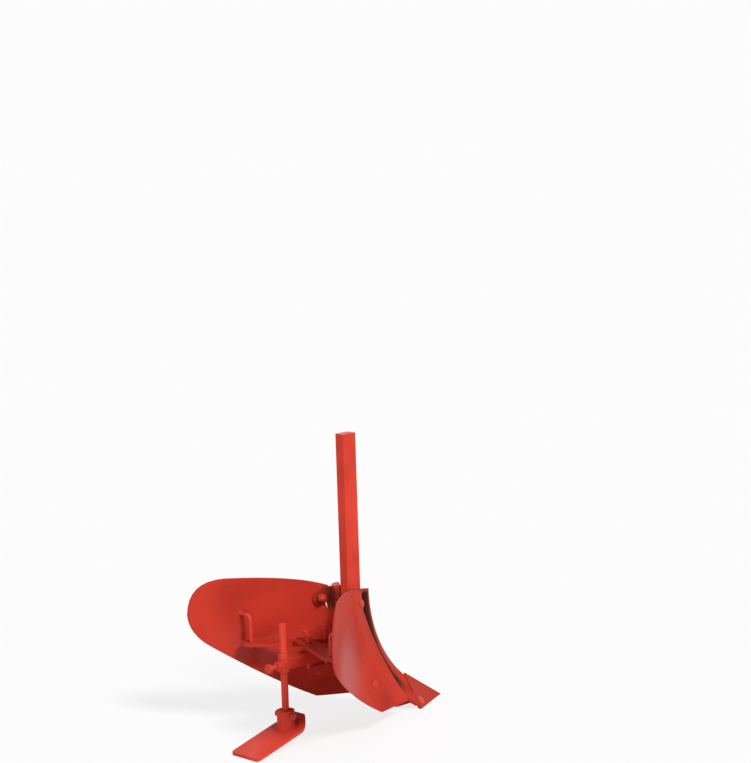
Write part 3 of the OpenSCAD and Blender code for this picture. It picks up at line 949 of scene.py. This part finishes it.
@dataclass
class Standard:
    """The upright bar with its bent foot, and what is welded to it."""

    half_w: float = 10 * MM
    bend_y: float = SHANK_Y + 266 * MM
    bend_z: float = 228.872 * MM
    rear_r: float = 281 * MM
    front_r: float = 251 * MM
    web: float = 4 * MM
    hinge_y: float = SHANK_Y - 12 * MM
    hinge_span: float = 148.6 * MM
    rake: float = math.radians(15.5)
    ear_top: float = -12.4 * MM
    ear_t: float = 10 * MM
    ear_half: float = 8 * MM
    web_turn: float = 50.0
    web_steps: int = 24
    nodes: tuple[str, ...] = ("shank", "left_hinge_ears", "right_hinge_ears")

    def along_hinge(self, side: Side, t: float, across: float, x: float) -> Vector:
        """A point near a hinge line.

        Args:
            side: The hinge's side.
            t: Distance along the line, up from the upper hinge.
            across: Distance forward of the line, square to it.
            x: Distance from the middle.

        Returns:
            The point in the frame.
        """
        y = self.hinge_y - t * math.sin(self.rake) + across * math.cos(self.rake)
        z = self.bend_z + t * math.cos(self.rake) + across * math.sin(self.rake)
        return side.place((x, y, z))

    def web_line(self) -> Loop:
        """The right seam between the bar's bend and the shin's web.

        Returns:
            Points down the bend.
        """
        line = []
        for i in range(self.web_steps + 1):
            a = math.radians(FULL_TURN / 2 + self.web_turn * i / self.web_steps)
            y = self.bend_y + self.front_r * math.cos(a)
            line.append(Vector((self.web, y, self.bend_z + self.front_r * math.sin(a))))
        return line

    def seams(self) -> list[Seam]:
        """The seams at the ears and the shin's web.

        Returns:
            Loops and lines, each with whether it closes.
        """
        found: list[Seam] = []
        for side in Side:
            for drop in (0.0, -self.hinge_span):
                top = drop + self.ear_top
                low = top - self.ear_t
                corners = [(top, 1), (low, 1), (low, -1), (top, -1)]
                ear = [self.along_hinge(side, t, way * self.ear_half, self.half_w) for t, way in corners]
                found.append((ear, True))
            found.append(([side.place(point) for point in self.web_line()], False))
        return found

    def dress(self, paint: Materials) -> None:
        """Paints the bar and the ears."""
        paint_nodes(self.nodes, paint[Part.BAR])


@dataclass
class TailArm:
    """The arm behind the bar, its collar and the spacer for the rear pin."""

    half_w: float = 8 * MM
    low: float = 130 * MM
    top: float = 150 * MM
    post_y: float = SHANK_Y - 162 * MM
    collar_r: float = 8.5 * MM
    spacer_y: float = SHANK_Y - 105 * MM
    spacer_r: float = 8 * MM
    end_steps: int = 8
    arc_points: int = 9
    nodes: tuple[str, ...] = ("tail_arm", "collar", "pin_spacer")

    def seams(self, standard: Standard) -> list[Seam]:
        """The seams at both ends of the arm and under the spacer.

        Args:
            standard: The bar that the arm starts from.

        Returns:
            Loops and lines, each with whether it closes.
        """
        def rear_y(z: float) -> float:
            """Y of the bar's rear face at a height."""
            return standard.bend_y - math.sqrt(standard.rear_r ** 2 - (standard.bend_z - z) ** 2)

        rise = (self.top - self.low) / self.end_steps
        heights = [self.low + rise * i for i in range(self.end_steps + 1)]
        start = [Vector((self.half_w, rear_y(z), z)) for z in heights]
        start += [Vector((-self.half_w, rear_y(z), z)) for z in reversed(heights)]
        angle = math.degrees(math.acos(self.half_w / self.collar_r))
        across = FULL_TURN / 2 - 2 * angle
        saddle: Loop = []
        for z, first, turn in ((self.low, angle, across), (self.top, angle + across, -across)):
            middle = Vector((0.0, self.post_y, z))
            saddle += ring(middle, UP, self.collar_r, self.arc_points, first, turn)
        spacer = ring(Vector((0.0, self.spacer_y, self.top)), UP, self.spacer_r)
        return [(start, True), (saddle, True), (spacer, True)]

    def dress(self, paint: Materials) -> None:
        """Paints the arm and its collar."""
        paint_nodes(self.nodes, paint[Part.BAR])


@dataclass
class SoilTools:
    """The shin, the share and the seat under it."""

    shins: tuple[str, ...] = ("shin",)
    edge_tools: tuple[str, ...] = ("share", "share_seat")
    hardware: tuple[str, ...] = ("share_bolts",)

    def dress(self, paint: Materials) -> None:
        """Paints the shin, the share, its seat and its bolts.

        Args:
            paint: Paint of each kind of part.
        """
        paint_nodes(self.shins, paint[Part.SHIN])
        paint_nodes(self.edge_tools, paint[Part.EDGE_TOOL])
        paint_nodes(self.hardware, paint[Part.HARDWARE])


@dataclass
class Wing:
    """A wing with its cheek, straps, bolts, hook rod and brace."""

    side: Side
    surface: RolledWing = field(default_factory=RolledWing)
    rod_y: float = SHANK_Y - 146 * MM
    rod_z: float = 204 * MM
    rod_r: float = 3 * MM
    rod_weld: float = 3.6 * MM
    rod_points: int = 16
    inner_mm: float = 3.1
    plates: tuple[str, ...] = ("wing", "cheek", "brace")
    straps: tuple[str, ...] = ("upper_strap", "lower_strap")
    bars: tuple[str, ...] = ("hook_rod",)
    hardware: tuple[str, ...] = (
        "wing_bolt",
        "wing_nut",
        "strap_rivet",
        "keeper",
        "hinge_pins",
        "hinge_nuts",
    )

    @property
    def body(self) -> str:
        """The body that the wing's pieces ride on."""
        return f"{self.side.word}_moldboard"

    def rod_seam(self) -> Loop:
        """The seam round the hook rod's arm, on the wing's inner face.

        Returns:
            Points round the rod.
        """
        loop = []
        for i in range(self.rod_points):
            a = math.radians(FULL_TURN * i / self.rod_points)
            ahead = (self.rod_y - SHANK_Y + self.rod_r * math.cos(a)) / MM
            height = (self.rod_z + self.rod_r * math.sin(a)) / MM
            point = MM * self.surface.place((ahead, height), self.inner_mm)
            point.y += SHANK_Y
            loop.append(self.side.place(point))
        return loop

    def build(self, paint: Materials) -> list[bpy.types.Object]:
        """Adds the rod's weld, the threaded ends and the cheek's dressed seam.

        Args:
            paint: Paint of each kind of part.

        Returns:
            The new pieces.
        """
        weld = WeldBead(self.body, [(self.rod_seam(), True)], width=self.rod_weld)
        ends = ThreadedEnds(self.body, f"{self.side.word}_bolt_ends", self.surface.bolt_ends(self.side))
        fillet = CheekFillet(self.side, self.body, self.surface)
        kinds = ((weld, Part.WELD), (ends, Part.HARDWARE), (fillet, Part.PLATE))
        return [piece.build(paint[part]) for piece, part in kinds]

    def dress(self, paint: Materials) -> None:
        """Paints the wing's own pieces and the pins that it turns on.

        Args:
            paint: Paint of each kind of part.
        """
        kinds = {
            Part.PLATE: self.plates,
            Part.STRAP: self.straps,
            Part.BAR: self.bars,
            Part.HARDWARE: self.hardware,
        }
        for part, words in kinds.items():
            paint_nodes([f"{self.side.word}_{word}" for word in words], paint[part])


@dataclass
class Skid:
    """The post, the foot with its socket, the clamp screw and the drop pins."""

    post_y: float = SHANK_Y - 162 * MM
    rear_y: float = SHANK_Y - 258 * MM
    pitch: float = math.radians(14)
    plate_t: float = 5 * MM
    flat: float = 102 * MM
    nose_r: float = 40 * MM
    socket_r: float = 15 * MM
    screw_z: float = 138 * MM
    screw_from: float = 17.9 * MM
    screw_to: float = 31.0 * MM
    fit_rounds: int = 6
    socket_points: int = 36
    bars: tuple[str, ...] = ("foot", "skid_post", "foot_socket", "front_drop_pin", "rear_drop_pin")
    hardware: tuple[str, ...] = ("clamp_nut", "clamp_screw", "socket_bolt", "socket_nut")

    def top(self, y: float) -> float:
        """Height of the foot's upper face, which is flat and then curves up to the nose.

        Args:
            y: Place along the tool.

        Returns:
            Z of the upper face there.
        """
        lean, rise = math.cos(self.pitch), math.sin(self.pitch)
        bend_at = self.flat / lean
        inner = self.nose_r - self.plate_t
        z = self.plate_t
        for _ in range(self.fit_rounds):
            along = (y - self.rear_y) * lean + z * rise
            past = max(0.0, along - bend_at)
            off = self.nose_r - math.sqrt(inner ** 2 - past ** 2)
            z = along * rise + off * lean
        return z

    def socket_seam(self) -> Loop:
        """The seam between the socket and the foot.

        Returns:
            Points round the socket.
        """
        loop = []
        for i in range(self.socket_points):
            a = math.radians(FULL_TURN * i / self.socket_points)
            y = self.post_y + self.socket_r * math.sin(a)
            loop.append(Vector((self.socket_r * math.cos(a), y, self.top(y))))
        return loop

    def build(self, paint: Materials) -> list[bpy.types.Object]:
        """Adds the socket's weld and the clamp screw's thread.

        Args:
            paint: Paint of each kind of part.

        Returns:
            The new pieces.
        """
        weld = WeldBead("skid", [(self.socket_seam(), True)]).build(paint[Part.WELD])
        start = Vector((0.0, self.post_y - self.screw_from, self.screw_z))
        thread = ThreadedEnds(
            "post_clamp",
            "clamp_screw_thread",
            [(start, Vector((0.0, -1.0, 0.0)))],
            length=self.screw_to - self.screw_from,
        )
        return [weld, thread.build(paint[Part.HARDWARE])]

    def dress(self, paint: Materials) -> None:
        """Paints the skid, the clamp and the drop pins."""
        paint_nodes(self.bars, paint[Part.BAR])
        paint_nodes(self.hardware, paint[Part.HARDWARE])


def paint_nodes(names: Iterable[str], material: bpy.types.Material) -> None:
    """Gives solids of the frame a material.

    Args:
        names: Names of the solids.
        material: The material that they get.
    """
    for name in names:
        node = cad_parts[name]
        for slot in node.material_slots:
            slot.material = material
        LOG.info("painted %s with %s", name, material.name)


@dataclass(frozen=True)
class PhotoCamera:
    """The camera at the photo's place, for an image of 751 by 763 pixels."""

    place_mm: Place = (2507.93, -2474.95, 1076.25)
    forward: Place = (-0.69441, 0.70667, -0.13570)
    up: Place = (-0.07260, 0.11882, 0.99026)
    focal_px: float = 2100.0
    long_side_px: float = 763.0
    sensor_mm: float = 36.0
    far_end: float = 100.0

    def build(self) -> bpy.types.Object:
        """Makes the camera and sets it as the scene's.

        Returns:
            The camera.
        """
        data = bpy.data.cameras.new("photo_camera")
        data.sensor_width = self.sensor_mm
        data.lens = self.focal_px * self.sensor_mm / self.long_side_px
        data.clip_end = self.far_end
        camera = linked("photo_camera", data)
        back = -Vector(self.forward).normalized()
        right = Vector(self.up).cross(back).normalized()
        up = back.cross(right)
        turn = Matrix((right, up, back)).transposed().to_4x4()
        place = MM * Vector(self.place_mm) + Vector((0.0, SHANK_Y, 0.0))
        camera.matrix_world = Matrix.Translation(place) @ turn
        bpy.context.scene.camera = camera
        return camera


@dataclass(frozen=True)
class Sun:
    """A soft far light, named by the direction that it comes from."""

    name: str
    source: Place
    strength: float
    spread: float

    def build(self) -> bpy.types.Object:
        """Makes the light.

        Returns:
            The light.
        """
        data = bpy.data.lights.new(self.name, "SUN")
        data.energy = self.strength
        data.angle = math.radians(self.spread)
        light = linked(self.name, data)
        light.rotation_mode = "QUATERNION"
        light.rotation_quaternion = (-Vector(self.source)).to_track_quat("-Z", "Y")
        return light


@dataclass
class Studio:
    """Floor, soft light, pale surround and camera."""

    lights: tuple[Sun, ...] = (
        Sun("key", (0.74, -0.12, 0.66), 3.1, 14.0),
        Sun("fill", (-0.25, -0.95, 0.2), 1.1, 60.0),
        Sun("far_side", (-0.75, 0.60, 0.30), 1.1, 60.0),
    )
    surround: float = 0.22
    backdrop: float = 0.977

    def build(self) -> None:
        """Makes the floor, the lights, the surround and the camera."""
        Floor().build()
        for light in self.lights:
            light.build()
        self._world()
        PhotoCamera().build()

    def _world(self) -> None:
        """Makes a surround that is pale to the eye and in reflections, and dimmer as light."""
        world = bpy.data.worlds.new("surround")
        bpy.context.scene.world = world
        world.use_nodes = True
        nodes = Nodes(world.node_tree)
        nodes.tree.nodes.clear()
        dim = nodes.node("ShaderNodeBackground", {"Color": WHITE, "Strength": self.surround})
        pale = nodes.node("ShaderNodeBackground", {"Color": WHITE, "Strength": self.backdrop})
        shares = {0: nodes.eye_rays(), 1: dim.outputs[0], 2: pale.outputs[0]}
        mixed = nodes.node("ShaderNodeMixShader", shares)
        nodes.node("ShaderNodeOutputWorld", {"Surface": mixed.outputs[0]})


def paints() -> Materials:
    """The paint of each kind of part.

    Returns:
        A material for each part.
    """
    # The reds differ by part as painted light and shade of one gloss red paint: a lighter red on the bars
    # and the foot, deeper reds on the plates and straps, the shin and the share.
    sheet = {"red": (0.49, 0.036, 0.020), "deep": (0.37, 0.024, 0.014)}
    bar = {"red": (0.63, 0.050, 0.028), "deep": (0.50, 0.035, 0.021)}
    share = {"red": (0.41, 0.033, 0.018), "deep": (0.32, 0.023, 0.014)}
    shin = {"red": (0.47, 0.036, 0.020), "deep": (0.36, 0.025, 0.015)}
    kinds = (
        # The plates carry the painted highlight patch on the wings.
        Paint(Part.PLATE, **sheet, coat=0.07, shine=0.03, highlight_strength=0.34),
        Paint(Part.BAR, **bar, gloss=0.48, peel=0.10, coat=0.3),
        Paint(Part.HARDWARE, gloss=0.42, edge=0.7 * MM, chips=0.55, coat=0.45),
        Paint(Part.WELD, gloss=0.56, peel=0.15),
        Paint(Part.EDGE_TOOL, **share, chips=0.6, scrapes=0.3, shine=0.04),
        # The straps carry painted shade round the upper hinges, and the shin carries painted shade on its
        # flanks.
        Paint(Part.STRAP, **sheet, soil=Soil(hinge_shade=0.75), shine=0.02),
        Paint(Part.SHIN, **shin, chips=0.5, scrapes=0.2, soil=Soil(film=0.97), shine=0.0),
    )
    return {kind.part: kind.material() for kind in kinds}


def main() -> None:
    """Builds the tool's looks and the studio."""
    logging.basicConfig(level=logging.INFO, format="%(name)s: %(message)s")
    bpy.context.scene.view_settings.view_transform = "Standard"
    Studio().build()
    paint = paints()
    standard, arm, skid = Standard(), TailArm(), Skid()
    wings = [Wing(side) for side in Side]
    for assembly in (standard, arm, SoilTools(), skid, *wings):
        assembly.dress(paint)
    made = [WeldBead("frame", standard.seams() + arm.seams(standard)).build(paint[Part.WELD])]
    for assembly in (skid, *wings):
        made.extend(assembly.build(paint))
    for piece in made:
        LOG.info("made %s with %d faces", piece.name, len(piece.data.polygons))


if __name__ == "__main__":
    main()
